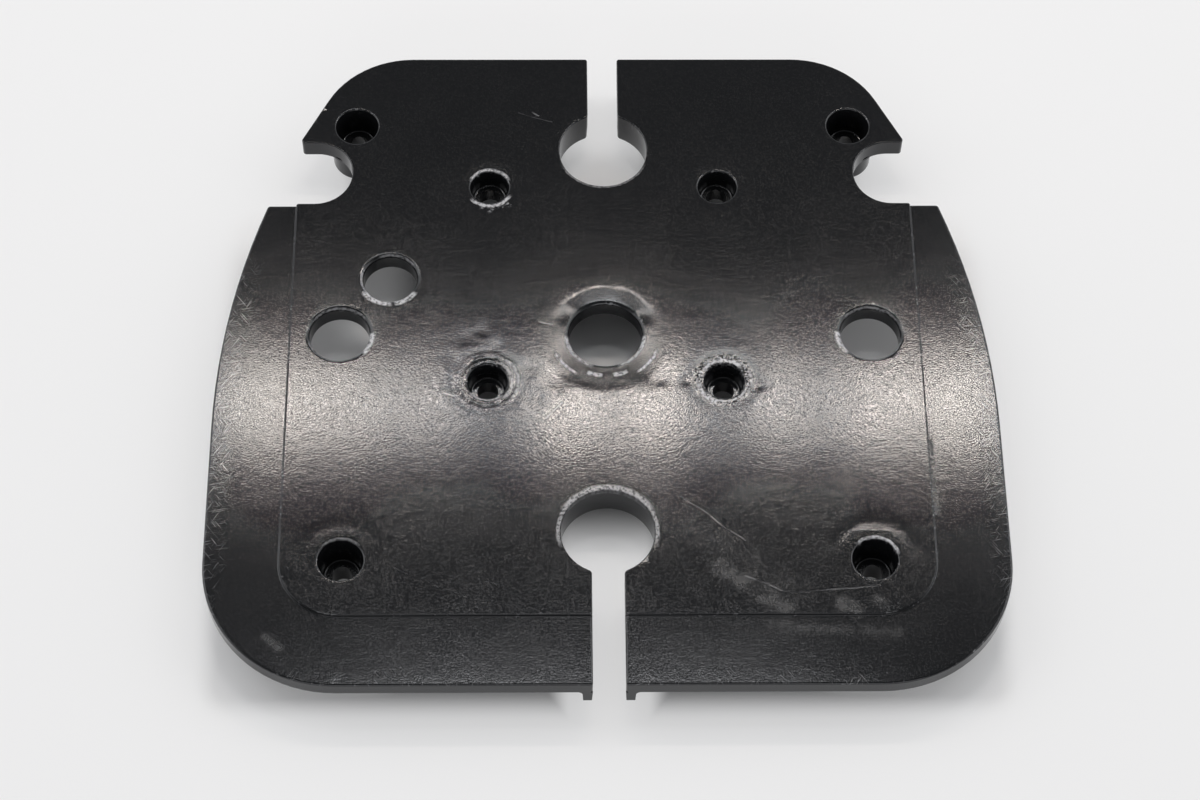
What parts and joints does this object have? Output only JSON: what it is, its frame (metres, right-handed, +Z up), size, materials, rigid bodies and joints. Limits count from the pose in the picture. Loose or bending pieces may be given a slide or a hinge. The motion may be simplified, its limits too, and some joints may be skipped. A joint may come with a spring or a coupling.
{
  "type": "motor mounting bracket",
  "caption": "Moulded plastic motor mounting plate with recessed screw posts, a shaft hole, keyhole slots open to the back and front edges, and side notches.",
  "frame": {"origin": "on the shaft hole's axis, in the plane of the four feet", "axes": "+Z up through the flat face, +Y to the narrower back edge, +X to the right seen from the front"},
  "size_m": [0.1744, 0.164, 0.0128],
  "materials": {
    "plastic": "satin moulded black with a fine grain"
  },
  "bodies": {
    "root": {"mounting_plate": "plastic"}
  },
  "joints": []
}
